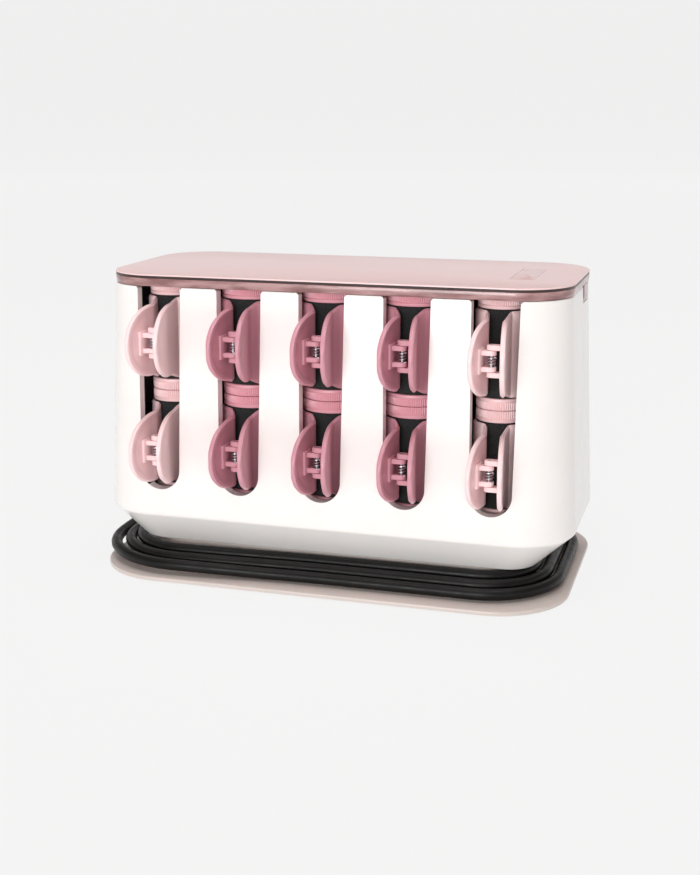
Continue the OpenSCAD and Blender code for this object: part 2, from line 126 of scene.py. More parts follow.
def tube_rings(path, radius, sides):
    """Rings round a path. The side direction is carried from point to point and made square to
    the path each time, so the rings don't twist; a ring is centre + r (cos a side + sin a up)."""
    path = np.asarray(path, float)
    ahead = np.gradient(path, axis=0)
    ahead /= np.linalg.norm(ahead, axis=1, keepdims=True)
    side = np.cross(ahead[0], [0.0, 0.0, 1.0])
    if np.linalg.norm(side) < 0.1:
        side = np.cross(ahead[0], [1.0, 0.0, 0.0])
    sides_along = []
    for step in ahead:
        side = side - step * (side @ step)
        side = side / np.linalg.norm(side)
        sides_along.append(side)
    across = np.array(sides_along)[:, None]
    up = np.cross(across[:, 0], ahead)[:, None]
    turn = np.linspace(0, 2 * np.pi, sides, endpoint=False)[None, :, None]
    radius = np.broadcast_to(radius, len(path))[:, None, None]
    return path[:, None] + radius * (np.cos(turn) * across + np.sin(turn) * up)


def dressed(piece, material, body, slot, *stands_for):
    """The piece gets its material, rides on its body and stands for its CAD nodes."""
    piece.data.materials.append(material)
    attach(piece, body)
    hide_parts(*stands_for)
    return piece


def shader(name, colour, rough, **settings):
    """A new material with its Principled shader; settings are the shader's own sockets."""
    material = bpy.data.materials.new(name)
    material.use_nodes = True
    surface = material.node_tree.nodes["Principled BSDF"]
    surface.inputs["Base Color"].default_value = colour
    surface.inputs["Roughness"].default_value = rough
    for socket, value in settings.items():
        surface.inputs[socket.replace("_", " ")].default_value = value
    return material, surface


def step(material, kind, values, *links):
    """A new node of the kind with its socket values; each link joins an output to one of its
    inputs, by name."""
    made = material.node_tree.nodes.new("ShaderNode" + kind)
    for socket, value in values.items():
        made.inputs[socket].default_value = value
    for output, socket in links:
        material.node_tree.links.new(output, made.inputs[socket])
    return made


def noise(material, size, detail=2.0, stretch=(1, 1, 1)):
    """Noise on object coordinates whose blotches are about size across, stretched per axis."""
    place = step(material, "TexCoord", {})
    scale = step(material, "Mapping", {"Scale": [1 / (size * s) for s in stretch]},
                 (place.outputs["Object"], "Vector"))
    cloud = step(material, "TexNoise", {"Scale": 1.0, "Detail": detail},
                 (scale.outputs["Vector"], "Vector"))
    return cloud.outputs["Fac"]


def tinted(material, surface, mask, low, high, start=0.35, stop=0.65):
    """The surface colour runs from low to high as the mask runs from start to stop."""
    ramp = step(material, "ValToRGB", {}, (mask, "Fac"))
    for element, at, colour in zip(ramp.color_ramp.elements, (start, stop), (low, high)):
        element.position = at
        element.color = colour
    material.node_tree.links.new(ramp.outputs["Color"], surface.inputs["Base Color"])


def roughened(material, surface, mask, low, high):
    """The roughness follows the mask between low and high."""
    span = step(material, "MapRange", {"From Min": 0.3, "From Max": 0.7, "To Min": low, "To Max": high},
                (mask, "Value"))
    material.node_tree.links.new(span.outputs["Result"], surface.inputs["Roughness"])


def embossed(material, surface, mask, depth):
    """The mask stands proud of the surface by depth."""
    relief = step(material, "Bump", {"Strength": 1.0, "Distance": depth}, (mask, "Height"))
    material.node_tree.links.new(relief.outputs["Normal"], surface.inputs["Normal"])


def shade(colour, factor):
    """The linear colour made lighter or darker by a factor."""
    return (*[min(channel * factor, 1.0) for channel in colour[:3]], 1.0)


def moulded(name, colour, rough, drift=0.03, grain=0.0007, depth=0.00001, **settings):
    """Moulded plastic: the colour drifts by a few per cent over centimetres, the gloss wanders
    with it, and a fine skin grain breaks the reflections."""
    material, surface = shader(name, colour, rough, **settings)
    flow = noise(material, 0.03, 3.0)
    tinted(material, surface, flow, shade(colour, 1 - drift), shade(colour, 1 + drift))
    roughened(material, surface, flow, rough * 0.88, rough * 1.12)
    embossed(material, surface, noise(material, grain), depth)
    return material


cord_d = 0.0066
base_low, base_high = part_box("base_tub")
plate_end_reach = 0.0251
plate_reach = 0.0313
neck_x = base_high.x - plate_end_reach
neck_y = base_high.y - plate_reach
neck_r = 0.025
plate_top = 0.0036
relief_low, relief_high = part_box("strain_relief")
gland = Vector((relief_low.x + 0.006, (relief_low.y + relief_high.y) / 2,
                (relief_low.z + relief_high.z) / 2))
plug_low, plug_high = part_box("mains_plug")
plug_end = Vector((plug_low.x, (plug_low.y + plug_high.y) / 2, (plug_low.z + plug_high.z) / 2))

first_out = cord_d / 2 + 0.0009
turn_out = 0.0067
turn_down = 0.00285
first_z = plate_top + 0.0098
rest_z = plate_top + 0.0039
exit_lift = 0.0008
slack = (0.004, 0.0045, 0.0065)
slack_at = 0.72
slack_half = 0.16
slack_rise = 0.42
turns = 3


def ease(t):
    """Smooth step from 0 to 1: c squared times (3 - 2c), with c held between 0 and 1."""
    c = np.clip(t, 0, 1)
    return c * c * (3 - 2 * c)


def winding():
    """The lead's middle line. Each turn follows the neck's rounded rectangle, from the middle of
    the back clockwise: offset = first + turn_out (turn + eased share), height falls by turn_down
    a turn, and at the left end a squared-cosine swell stands the outer turns off."""
    cx, cy = neck_x - neck_r, neck_y - neck_r
    corner = np.linspace(0, 90, 13)
    along, up = np.linspace(-1, 1, 17)[1:-1], np.linspace(-1, 1, 9)[1:-1]
    legs = [(x, cy, 90.0) for x in along[along > 0] * cx]
    legs = [(0.0, cy, 90.0)] + legs + [(cx, cy, 90 - a) for a in corner]
    legs += [(cx, -y * cy, 0.0) for y in up] + [(cx, -cy, -a) for a in corner]
    legs += [(-x * cx, -cy, -90.0) for x in along] + [(-cx, -cy, -90 - a) for a in corner]
    legs += [(-cx, y * cy, -180.0) for y in up] + [(-cx, cy, -180 - a) for a in corner]
    legs += [(x, cy, 90.0) for x in along[along < 0] * cx]
    x, y, facing = np.array(legs).T
    facing = np.radians(facing)
    foot = np.stack([x + neck_r * np.cos(facing), y + neck_r * np.sin(facing)], 1)
    share = np.mod(90 - np.degrees(np.arctan2(foot[:, 1], foot[:, 0])), 360) / 360
    lines = []
    for turn in range(turns):
        level = turn + ease(2 * share - 1)
        swell = np.cos(np.radians(90 * (share - slack_at) / slack_half)) ** 2
        off = np.where(abs(share - slack_at) < slack_half, slack[turn] * swell, 0)
        lift = exit_lift * np.maximum(1 - 2 * share, 0) * (turn == 0)
        lift = lift + (plug_end.z - rest_z) * ease((share - 0.76) / 0.1) * (turn == turns - 1)
        out = first_out + turn_out * level + off
        spot = foot + out[:, None] * np.stack([np.cos(facing), np.sin(facing)], 1)
        z = np.maximum(first_z - turn_down * level, rest_z) + slack_rise * off + lift
        line = np.column_stack([spot, z])
        if turn == 0:
            line = line[4:]
        if turn == turns - 1:
            line = line[:len(line) - int((along < 0).sum()) + 2]
        lines.append(line)
    start = [[relief_high.x, gland.y, gland.z]]
    return np.concatenate([start, *lines, [list(plug_end)]])


lead_line = winding()

lead_pvc, lead_surface = shader("lead_pvc", linear(14, 13, 13), 0.36, Specular_IOR_Level=0.25)
tinted(lead_pvc, lead_surface, noise(lead_pvc, 0.012, 3.0), linear(10, 9, 9), linear(18, 17, 17))
roughened(lead_pvc, lead_surface, noise(lead_pvc, 0.004, 3.0), 0.30, 0.48)
embossed(lead_pvc, lead_surface, noise(lead_pvc, 0.0016, 3.0), 0.00006)
lead = lofted("lead", tube_rings(lead_line, cord_d / 2, 20), 60)
dressed(lead, lead_pvc, "housing", "cord_pvc", "mains_cord")


def turned(name, profile, steps, centre=(0, 0), crease=35, axis="z"):
    """A turned piece. Each profile point (radius, height) goes round the axis, and the last
    joins the first; the axis is upright through centre, or runs along X through (y, z)."""
    radius, height = np.asarray(profile, float).T
    turn = np.linspace(0, 2 * np.pi, steps, endpoint=False)
    a = radius[:, None] * np.cos(turn) + centre[0]
    b = radius[:, None] * np.sin(turn) + centre[1]
    c = np.broadcast_to(height[:, None], a.shape)
    return looped(name, np.stack([c, a, b] if axis == "x" else [a, b, c], -1), crease)


# The strain relief is a tapered boot: seven ribs, each a little thinner than the one before.
relief_ribs = 7
boot_r, hug_r = 0.0042, cord_d / 2 + 0.00005
boot_start, boot_stop = gland.x + 0.0015, relief_high.x - 0.0012
boot = [(hug_r, gland.x - 0.0055), (0.0033, gland.x - 0.0058), (0.0034, gland.x),
        (boot_r, gland.x + 0.0001), (boot_r, boot_start)]
for rib in range(relief_ribs):
    part_of_rib = rib + np.array([0.12, 0.2, 0.3, 0.75, 0.85, 0.95])
    at = boot_start + (boot_stop - boot_start) * part_of_rib / relief_ribs
    body_r = boot_r - 0.0006 * (at - gland.x) / (relief_high.x - gland.x)
    boot += list(zip(body_r - 0.00045 * np.array([0.2, 0.9, 1, 1, 0.9, 0.2]), at))
    boot.append((body_r[-1], at[-1] + 0.0002))
boot += [(0.0036, relief_high.x - 0.0004), (0.0035, relief_high.x), (hug_r, relief_high.x)]
relief_pvc = moulded("relief_pvc", linear(30, 29, 30), 0.5, 0.08, 0.0005, 0.00003)
relief = turned("strain_relief_boot", boot, 48, (gland.y, gland.z), 30, "x")
dressed(relief, relief_pvc, "housing", "plug_pvc", "strain_relief")

# The plug body grows from a round neck into a rounded block with five finger ridges a side.
plug_len = 0.030
plug_half_w = 0.0125
plug_half_t = 0.0058
reach = np.concatenate([[0, 0.0006], np.linspace(0.002, 0.0295, 45), [plug_len - 0.0001, plug_len]])
grow = ease((reach - 0.005) / 0.008)
neck_part = np.minimum(reach / 0.005, 1)
half_w = 0.0042 + 0.0008 * neck_part
half_w = half_w + (plug_half_w - half_w) * grow
half_t = 0.0042 + 0.0006 * neck_part
half_t = half_t + (plug_half_t - half_t) * grow
ridge = 0.5 - 0.5 * np.cos(2 * np.pi * (reach - 0.012) / 0.0028)
ridge = ridge * ((reach > 0.012) & (reach < 0.026))
ends_in = np.ones_like(reach)
ends_in[0], ends_in[-2], ends_in[-1] = 0.86, 0.97, 0.9
turn = np.linspace(0, 2 * np.pi, 64, endpoint=False)
power = (2 / (2 + 3.2 * grow))[:, None]
round_y = np.sign(np.cos(turn)) * abs(np.cos(turn)) ** power
round_z = np.sign(np.sin(turn)) * abs(np.sin(turn)) ** power
width = ((half_w - 0.0006 * ridge) * ends_in)[:, None]
thick = (half_t * ends_in)[:, None]
block = np.stack([np.broadcast_to(plug_end.x + reach[:, None], round_y.shape),
                  plug_end.y + width * round_y, plug_end.z + thick * round_z], -1)
plug_body = dressed(lofted("plug_body", block, 40), relief_pvc, "housing", "plug_pvc", "mains_plug")

brass, brass_surface = shader("plug_brass", linear(196, 170, 110), 0.28, Metallic=1.0)
tinted(brass, brass_surface, noise(brass, 0.006, 3.0), linear(186, 158, 98), linear(205, 182, 124))
roughened(brass, brass_surface, noise(brass, 0.0007, 2.0, (8, 1, 1)), 0.2, 0.38)
blade_len = 0.017
blade_apart, blade_half_t, blade_half_w = 0.00635, 0.00075, 0.0032
along = np.concatenate([[-0.002], blade_len * np.array([0.3, 0.6, 0.8, 0.9, 0.96, 0.99, 1.0])])
narrow = np.array([1, 1, 1, 1, 0.97, 0.86, 0.7, 0.52])
slim = np.array([1, 1, 1, 1, 0.95, 0.8, 0.62, 0.4])
loop = np.array([(-1, -0.7), (-0.92, -1), (0.92, -1), (1, -0.7), (1, 0.7), (0.92, 1), (-0.92, 1),
                 (-1, 0.7)])
for side in (-1, 1):
    y = plug_end.y + side * blade_apart + blade_half_t * slim[:, None] * loop[:, 1]
    z = plug_end.z + blade_half_w * narrow[:, None] * loop[:, 0]
    x = np.broadcast_to(plug_end.x + plug_len + along[:, None], y.shape)
    blade = lofted("plug_blade_" + ("left" if side < 0 else "right"), np.stack([x, y, z], -1), 25)
    blade.data.materials.append(brass)
    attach(blade, "housing")


# ---- Base ----
# One cream polypropylene moulding: a flat plate, the bed that slopes up to the neck, and the neck
# that the housing stands on, open at the top, with six screw towers and a boss for the lead.

def rounded(half_x, half_y, radius, steps=18):
    """Outline of a rectangle with round corners: each corner centre plus r (cos a, sin a)."""
    turn = np.radians(np.linspace(0, 90, steps))
    corners = []
    for quarter, (sx, sy) in enumerate([(1, 1), (-1, 1), (-1, -1), (1, -1)]):
        a = turn + quarter * np.pi / 2
        corners.append(np.stack([sx * (half_x - radius) + radius * np.cos(a),
                                 sy * (half_y - radius) + radius * np.sin(a)], 1))
    return np.concatenate(corners)


def levels_rings(levels, steps=18):
    """Rings from rows of height, half width, half depth and corner radius."""
    return np.array([np.column_stack([rounded(hx, hy, r, steps), np.full(4 * steps, z)])
                     for z, hx, hy, r in levels])


def cut_with(piece, tool, how="DIFFERENCE"):
    """Cuts the tool out of the piece, or joins it on, and keeps only the result's mesh."""
    change = piece.modifiers.new("cut", "BOOLEAN")
    change.operation = how
    change.solver = "EXACT"
    change.object = tool
    bpy.context.view_layer.update()
    result = bpy.data.meshes.new_from_object(piece.evaluated_get(bpy.context.evaluated_depsgraph_get()))
    piece.modifiers.clear()
    piece.data = result
    bpy.data.objects.remove(tool)


def softened(piece, width, angle=40, segments=3):
    """Rounds every edge sharper than the angle, as a mould leaves it."""
    bevel = piece.modifiers.new("rounded_edges", "BEVEL")
    bevel.width = width
    bevel.segments = segments
    bevel.limit_method = "ANGLE"
    bevel.angle_limit = math.radians(angle)
    bevel.harden_normals = True
    bevel.miter_outer = "MITER_ARC"
    return piece


plate_low = base_low.z
plate_r = neck_r + 0.0175
groove_run = 0.0174
groove_top = plate_top + 0.0072
neck_top = base_high.z
wall = 0.0026
edge = 0.0007
px, py = base_high.x, base_high.y


def plate_level(z, inset):
    """The plate's outline at height z, moved in by inset."""
    return (z, px - inset, py - inset, plate_r - inset)


def neck_level(z, out):
    """The neck's outline at height z, moved out by out."""
    return (z, neck_x + out, neck_y + out, neck_r + out)


base_levels = [
    plate_level(plate_low, edge), plate_level(plate_low + edge * 0.3, edge * 0.3),
    plate_level(plate_low + edge, 0), plate_level(plate_top - edge, 0),
    plate_level(plate_top - edge * 0.3, edge * 0.3), plate_level(plate_top, edge),
    neck_level(plate_top, groove_run + 0.001),
    (plate_top + 0.0003, neck_x + groove_run - 0.001, neck_y + groove_run - 0.001, neck_r + groove_run),
    neck_level(groove_top - 0.0004, 0.001), neck_level(groove_top + 0.0008, 0),
    neck_level(neck_top - 0.0004, 0), neck_level(neck_top, -0.0004), neck_level(neck_top, -wall),
    neck_level(plate_top + 0.001, -wall), neck_level(plate_top, -wall - 0.001),
]
base = lofted("base_moulding", levels_rings(base_levels, 24))


def resmoothed(piece, crease):
    """After cuts: smooth faces, with edges sharper than crease degrees kept hard."""
    piece.data.shade_smooth()
    piece.data.set_sharp_from_angle(angle=math.radians(crease))


def column(radius, low, high, x, y, steps=40):
    """A plain round cutting or joining tool."""
    turn = np.linspace(0, 2 * np.pi, steps, endpoint=False)
    ring = np.stack([x + radius * np.cos(turn), y + radius * np.sin(turn)], 1)
    return lofted("tool", np.array([np.column_stack([ring, np.full(steps, z)]) for z in (low, high)]))


def block_tool(low, high):
    """A plain box-shaped cutting or joining tool between two corners."""
    (x0, y0, z0), (x1, y1, z1) = low, high
    ring = np.array([(x0, y0), (x1, y0), (x1, y1), (x0, y1)])
    return lofted("tool", np.array([np.column_stack([ring, np.full(4, z)]) for z in (z0, z1)]))


screw_low, screw_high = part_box("base_screws")
screw_x = (screw_high.x - screw_low.x) / 2 - 0.0029
screw_y = (screw_high.y - screw_low.y) / 2 - 0.0029
foot_low, foot_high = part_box("rubber_feet")
foot_x, foot_y = foot_high.x - 0.0059, foot_high.y - 0.0059
head_z = plate_low + 0.009
screw_places = [(x, y) for x in (-screw_x, 0, screw_x) for y in (-screw_y, screw_y)]
for x, y in screw_places:
    cut_with(base, column(0.005, plate_top - 0.001, neck_top - 0.002, x, y), "UNION")
gland_top = gland.z + 0.0054
boss_side = np.array([(neck_y - 0.002, gland.z - 0.0035), (gland.y + 0.0022, gland.z - 0.0035),
                      (gland.y + 0.0039, gland.z - 0.001), (gland.y + 0.0039, gland_top),
                      (neck_y - 0.002, gland_top)])
gland_boss = lofted("tool", [np.column_stack([np.full(5, x), boss_side])
                             for x in (gland.x - 0.018, gland.x)])
cut_with(base, gland_boss, "UNION")
head_r, shank_r = 0.0033, 0.0016
for x, y in screw_places:
    cut_with(base, column(head_r, plate_low - 0.001, head_z, x, y))
    cut_with(base, column(shank_r, head_z - 0.001, neck_top, x, y, 24))
for x in (-foot_x, foot_x):
    for y in (-foot_y, foot_y):
        cut_with(base, column(0.006, plate_low - 0.001, plate_low + 0.0012, x, y))
bore = lofted("tool", tube_rings([gland - Vector((0.006, 0, 0)), gland + Vector((0.002, 0, 0))],
                                0.0035, 32))
cut_with(base, bore)
resmoothed(base, 35)
softened(base, 0.0003, 50, 2)

cream = linear(244, 240, 237)
# The base's cream is the housing's cream plastic painted darker: painted shade for the shade the base
# lies in below the housing.
base_cream_with_painted_shade = moulded("base_cream_with_painted_shade", linear(206, 196, 190), 0.36, 0.02, 0.0009, 0.000012,
                     Subsurface_Weight=0.08, Subsurface_Scale=0.004)
dressed(base, base_cream_with_painted_shade, "housing", "cream_plastic", "base_tub")


# ---- Feet and screws ----
# Four pressed-in rubber feet carry the set, and six zinc-plated screws come up through the base
# into the towers of the roller tray.

def finish_node(name, material):
    """A carried-over CAD node gets a material in every slot of its object."""
    for place in nodes[name].material_slots:
        place.material = material


foot_rubber, rubber_surface = shader("foot_rubber", linear(52, 51, 52), 0.75)
tinted(foot_rubber, rubber_surface, noise(foot_rubber, 0.003, 4.0), linear(44, 43, 44),
       linear(62, 61, 62))
embossed(foot_rubber, rubber_surface, noise(foot_rubber, 0.0004), 0.00004)
foot_r = 0.0059
profile = [(0.0001, foot_low.z), (foot_r - 0.0024, foot_low.z), (foot_r - 0.002, foot_low.z + 0.0003),
           (foot_r - 0.0016, foot_low.z), (foot_r - 0.0006, foot_low.z),
           (foot_r - 0.0001, foot_low.z + 0.0004), (foot_r, foot_low.z + 0.0008),
           (foot_r, foot_high.z - 0.0002), (foot_r - 0.0002, foot_high.z), (0.0001, foot_high.z)]
for x, end in ((-foot_x, "left"), (foot_x, "right")):
    for y, face in ((-foot_y, "front"), (foot_y, "back")):
        foot = turned(f"foot_{face}_{end}", profile, 40, (x, y))
        dressed(foot, foot_rubber, "housing", "foot_rubber", "rubber_feet")


def metal(name, colour, rough, stretch=(1, 1, 1), scratch=0.0006, depth=0.000008):
    """Bare or plated metal: full metallic, with a fine drawn or rolled grain in its gloss."""
    material, surface = shader(name, colour, rough, Metallic=1.0)
    streak = noise(material, scratch, 3.0, stretch)
    tinted(material, surface, noise(material, 0.008, 2.0), shade(colour, 0.9), shade(colour, 1.05))
    roughened(material, surface, streak, rough * 0.75, rough * 1.3)
    embossed(material, surface, streak, depth)
    return material


zinc = metal("screw_zinc", linear(190, 192, 196), 0.32)
finish_node("base_screws", zinc)


# ---- Housing ----
# One glossy cream moulding: drafted walls with big round corners, five open-topped slots in the
# front and the back whose edges turn inwards as a return, and an underside that slopes to the neck.

shell_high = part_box("housing_shell")[1]
top_z = shell_high.z
break_z = 0.035
flare = 0.0434
corner_r = 0.0297
half_x = shell_high.x - flare * (top_z - break_z)
half_y = shell_high.y - flare * (top_z - break_z)


def wall_level(z, inset):
    """The wall's outline at height z: it leans out by flare for every metre below the top edge."""
    out = flare * (top_z - z) - inset
    return (z, half_x + out, half_y + out, corner_r + out)


def nudged(level, inset, z=None):
    """The same outline moved in by inset, at its own height or another."""
    return (level[0] if z is None else z, level[1] - inset, level[2] - inset, level[3] - inset)


ledge_top = neck_top + 0.0042
skirt_low = neck_top - 0.0067
skirt_x, skirt_y, skirt_r = neck_x + 0.0065, neck_y + 0.0011, neck_r - 0.007
neck_gap = 0.0001
skirt_round = 0.0004
shell_levels = [neck_level(neck_top, neck_gap), neck_level(skirt_low, neck_gap),
                (skirt_low, skirt_x - skirt_round, skirt_y - skirt_round, skirt_r - skirt_round),
                (skirt_low + skirt_round, skirt_x, skirt_y, skirt_r),
                nudged(wall_level(break_z - 0.0012, 0), 0.0014),
                nudged(wall_level(break_z - 0.0003, 0), 0.00045),
                nudged(wall_level(break_z + 0.0006, 0), 0.00008),
                wall_level(break_z + 0.002, 0)]
shell_levels += [wall_level(z, 0) for z in np.linspace(0.06, 0.15, 4)]
rim = 0.0006
for turn_angle in np.radians([0, 30, 60, 90]):
    shell_levels.append(wall_level(top_z - rim + rim * math.sin(turn_angle),
                                   rim * (1 - math.cos(turn_angle))))
for turn_angle in np.radians([90, 60, 30, 0]):
    shell_levels.append(wall_level(top_z - rim + rim * math.sin(turn_angle),
                                   wall - rim * (1 - math.cos(turn_angle))))
shell_levels += [wall_level(0.10, wall), wall_level(break_z + 0.0006, wall),
                 (ledge_top, wall_level(break_z, 0.014)[1], wall_level(break_z, 0.0106)[2], neck_r),
                 neck_level(ledge_top, -wall), neck_level(neck_top, -wall)]
shell = looped("housing_moulding", levels_rings(shell_levels, 30))

seat_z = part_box("roller_front_3_lower")[0].z - 0.0003
slot_low = seat_z + 0.0068
slot_w = 0.0234
slot_top_w = 0.0261
slot_flare = 0.0013
return_depth = 0.0065
return_t = 0.0013
column_x = [(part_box(f"roller_front_{c}_upper")[0].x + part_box(f"roller_front_{c}_upper")[1].x) / 2
            for c in range(1, 6)]


def slot_outline(grow, top, corner=0.0):
    """Outline of a clip slot in (x, z): a half circle below, sides that open slightly, and at the
    top edge a small flare when corner is given."""
    r = slot_w / 2
    turn = np.radians(np.linspace(180, 360, 25))
    arc = np.stack([(r + grow) * np.cos(turn), slot_low + r + (r + grow) * np.sin(turn)], 1)
    half = slot_top_w / 2 + grow
    if corner:
        spread = half + (top - top_z) * 0.02
        upper = [(half, top_z - corner), (spread + corner, top_z + 0.0001), (spread + corner, top)]
        return np.concatenate([arc, upper, [(-x, z) for x, z in upper[::-1]]])
    return np.concatenate([arc, [(half, top), (-half, top)]])


def slot_tool(x, outline, outer, inner, side, follow):
    """The outline carried from depth outer to depth inner, measured inwards from the wall's top
    edge; with follow it leans with the wall. side is -1 for the front, 1 for the back."""
    depths = []
    for depth in (outer, inner):
        y = half_y - depth + (flare * (top_z - outline[:, 1]) if follow else 0 * outline[:, 1])
        depths.append(np.stack([x + outline[:, 0], side * y, outline[:, 1]], 1))
    return lofted("tool", np.array(depths))


# A return is a block of the slot's outline grown by its thickness, joined on before the slots are cut.
return_block = slot_outline(return_t, top_z - 0.0009)
slot_cut = slot_outline(0, top_z + 0.002, slot_flare)
slot_reach = 0.012
for side in (-1, 1):
    for x in column_x:
        cut_with(shell, slot_tool(x, return_block, wall / 2, return_depth, side, True), "UNION")
for side in (-1, 1):
    for x in column_x:
        cut_with(shell, slot_tool(x, slot_cut, -slot_reach, slot_reach, side, False))
cut_with(shell, block_tool((gland.x - 0.0185, neck_y - 0.001, skirt_low - 0.001),
                           (gland.x + 0.0005, neck_y + 0.011, gland_top + 0.0005)))
tab_w = 0.018
tab_h = 0.009
tab_y = 0.018
for side in (-1, 1):
    cut_with(shell, block_tool(
        (side * half_x - 0.006, side * tab_y - tab_w / 2 - 0.0005, top_z - tab_h - 0.0005),
        (side * half_x + 0.006, side * tab_y + tab_w / 2 + 0.0005, top_z + 0.002)))
switch_low, switch_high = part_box("switch_frame")
lamp_low, lamp_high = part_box("pilot_lamp")
switch_z = (switch_low.z + switch_high.z) / 2
lamp_z = (lamp_low.z + lamp_high.z) / 2
cut_with(shell, block_tool((-half_x - 0.012, -0.0082, switch_z - 0.0102),
                           (-half_x + 0.004, 0.0082, switch_z + 0.0102)))
lamp_bore = tube_rings([(-half_x - 0.02, 0, lamp_z), (-half_x + 0.01, 0, lamp_z)], 0.0031, 32)
cut_with(shell, lofted("tool", lamp_bore))
resmoothed(shell, 35)
softened(shell, 0.00045, 38, 3)
housing_cream = moulded("housing_cream", cream, 0.24, 0.012, 0.0012, 0.00001, Coat_Weight=0.35,
                        Coat_Roughness=0.08, Subsurface_Weight=0.1, Subsurface_Scale=0.004)
dressed(shell, housing_cream, "housing", "cream_plastic", "housing_shell")

# The inner walls carry painted shade, a black standing for the shade inside the housing behind the
# rollers: faces that lie the wall's thickness in from its outer outline, whose depth is r - |max(q, 0)|
# with q the place past the straight part of a rounded rectangle.
inner_wall_painted_shade = moulded("inner_wall_painted_shade", linear(30, 29, 30), 0.6, 0.08, 0.0008, 0.00001)
shell.data.materials.append(inner_wall_painted_shade)
centres = np.empty(3 * len(shell.data.polygons))
shell.data.polygons.foreach_get("center", centres)
x, y, z = centres.reshape(-1, 3).T
past = np.hypot(np.maximum(abs(x) - half_x + corner_r, 0), np.maximum(abs(y) - half_y + corner_r, 0))
depth = corner_r + flare * (top_z - z) - past
painted_shade_faces = (abs(depth - wall) < 0.0003) & (z > break_z + 0.001) & (z < top_z - rim)
shell.data.polygons.foreach_set("material_index", painted_shade_faces.astype(np.int32))


# ---- Switch and lamp ----
# A black rocker switch snapped into the left end wall, and a red-orange pilot lamp below it.

switch_black = moulded("switch_black", linear(38, 37, 38), 0.34, 0.06, 0.0006, 0.00001)
rocker_black = moulded("rocker_black", linear(30, 29, 30), 0.22, 0.06, 0.0008, 0.000006,
                       Coat_Weight=0.3)
finish_node("switch_frame", switch_black)
finish_node("switch_rocker", rocker_black)
lamp_lens, lens_surface = shader("lamp_lens", linear(214, 84, 30), 0.12,
                                 Transmission_Weight=0.45, IOR=1.49)
tinted(lamp_lens, lens_surface, noise(lamp_lens, 0.004, 2.0), linear(196, 66, 22), linear(230, 104, 44))
embossed(lamp_lens, lens_surface, noise(lamp_lens, 0.0008, 0.0), 0.0001)
lens_r = 0.004
lens_profile = [(0.0001, 0.0), (0.003, 0.0), (0.003, 0.009), (lens_r, 0.009), (lens_r, 0.0093),
                (lens_r - 0.0002, 0.00952), (0.0028, 0.0096), (0.0014, 0.00966), (0.0001, 0.0097)]
lens_out = [(r, lamp_low.x + 0.0097 - h) for r, h in lens_profile]
lens = turned("pilot_lens", lens_out, 40, (0, lamp_z), 35, "x")
dressed(lens, lamp_lens, "housing", "lamp_lens", "pilot_lamp")


# ---- Inside of the housing ----
# Black roller tray on the screw towers, upright divider, aluminium heater plate with its turned
# posts, sheathed elements, thermostat, terminal block and silicone-jacketed wires.

finish_node("roller_tray", moulded("tray_black", linear(34, 32, 33), 0.5, 0.08, 0.0007, 0.00002))
finish_node("centre_divider", moulded("divider_black", linear(30, 28, 29), 0.55, 0.08, 0.0007, 0.00002))
finish_node("heater_plate", metal("plate_aluminium", linear(196, 198, 201), 0.36, (1, 14, 1), 0.0005))
finish_node("heating_posts", metal("post_aluminium", linear(205, 207, 210), 0.3, (9, 9, 0.4), 0.0004))
finish_node("heating_element", metal("element_steel", linear(140, 138, 136), 0.42, (12, 1, 1)))
finish_node("thermostat", moulded("thermostat_plastic", linear(214, 210, 200), 0.4, 0.04, 0.0006))
finish_node("terminal_block", moulded("terminal_nylon", linear(232, 228, 214), 0.36, 0.03, 0.0006,
                                      Subsurface_Weight=0.15, Subsurface_Scale=0.002))
finish_node("lead_wires", moulded("wire_jacket", linear(120, 70, 40), 0.45, 0.12, 0.0004))


# ---- Lid ----
# A tinted see-through rim with a locating lip and two end tabs, a dark seam, and a pale pink top
# panel with a plain plate let into its right end.

lid_low_z = top_z + 0.0002
lid_top_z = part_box("lid_shell")[1].z
ceiling = lid_top_z - 0.0025
lip_in = wall + 0.0005
lip_t = 0.0015
lip_low = top_z - 0.003
seam_z = lid_top_z - 0.0022
seam_t = 0.0014


def lid_level(z, inset):
    """The lid's outline at height z: it swells by 0.4 mm from its lower edge to its seam."""
    swell = 0.0004 * (z - lid_low_z) / (seam_z - lid_low_z) * (z > lid_low_z)
    out = 0.0003 + swell - inset
    return (z, half_x + out, half_y + out - 0.0008, corner_r + out + 0.0007)


lid_foot = lid_level(lid_low_z, 0)
lip_back = lip_in + lip_t
rim_levels = [lid_level(lid_low_z, 0.0005), lid_level(lid_low_z + 0.00015, 0.00015),
              lid_level(lid_low_z + 0.0005, 0), lid_level(seam_z - 0.0004, 0),
              lid_level(seam_z - 0.0001, 0.00015), lid_level(seam_z, 0.0005),
              nudged(lid_foot, lip_back + 0.0003, seam_z),
              nudged(lid_foot, lip_back + 0.0003, lip_low + 0.0003),
              nudged(lid_foot, lip_back, lip_low), nudged(lid_foot, lip_in + 0.0005, lip_low),
              nudged(lid_foot, lip_in + 0.0003, lip_low + 0.0002),
              nudged(lid_foot, lip_in + 0.0003, lid_low_z)]
lid_rim = looped("lid_rim", levels_rings(rim_levels, 32), 40)
